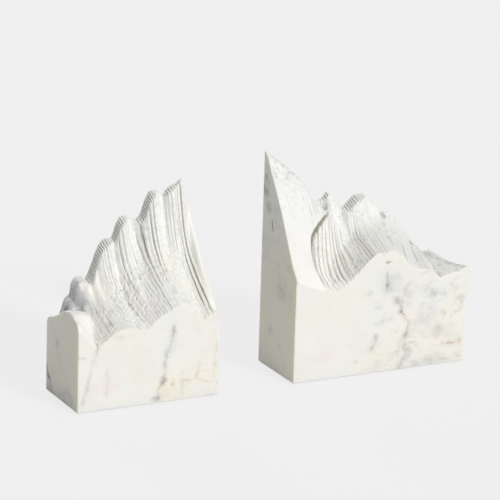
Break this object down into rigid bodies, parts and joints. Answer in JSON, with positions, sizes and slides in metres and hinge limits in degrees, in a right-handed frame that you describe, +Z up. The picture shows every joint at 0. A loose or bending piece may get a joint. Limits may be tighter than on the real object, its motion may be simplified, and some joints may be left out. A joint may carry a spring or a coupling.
{
  "type": "book ends",
  "caption": "Pair of heavy carved marble book ends, each a flat-sided block with a ribbed mountain-like top that rises towards the books, on felt feet.",
  "frame": {"origin": "on the shelf, below the middle of the pair's bounding box at the rest gap", "axes": "+X along the row of books from the left book end to the right one, +Y to the back, +Z up"},
  "size_m": [0.388, 0.07, 0.2012],
  "materials": {
    "marble": "honed white marble with grey veins and warm specks",
    "felt": "pressed wool felt"
  },
  "bodies": {
    "left": {"left_block": "marble", "left_foot_front_outer": "felt", "left_foot_front_inner": "felt", "left_foot_back_outer": "felt", "left_foot_back_inner": "felt"},
    "right": {"right_block": "marble", "right_foot_front_outer": "felt", "right_foot_front_inner": "felt", "right_foot_back_outer": "felt", "right_foot_back_inner": "felt"}
  },
  "joints": [
    {"name": "spread", "type": "slide", "parent": "left", "child": "right", "axis": [1, 0, 0], "range_m": [-0.065, 0.325]}
  ]
}
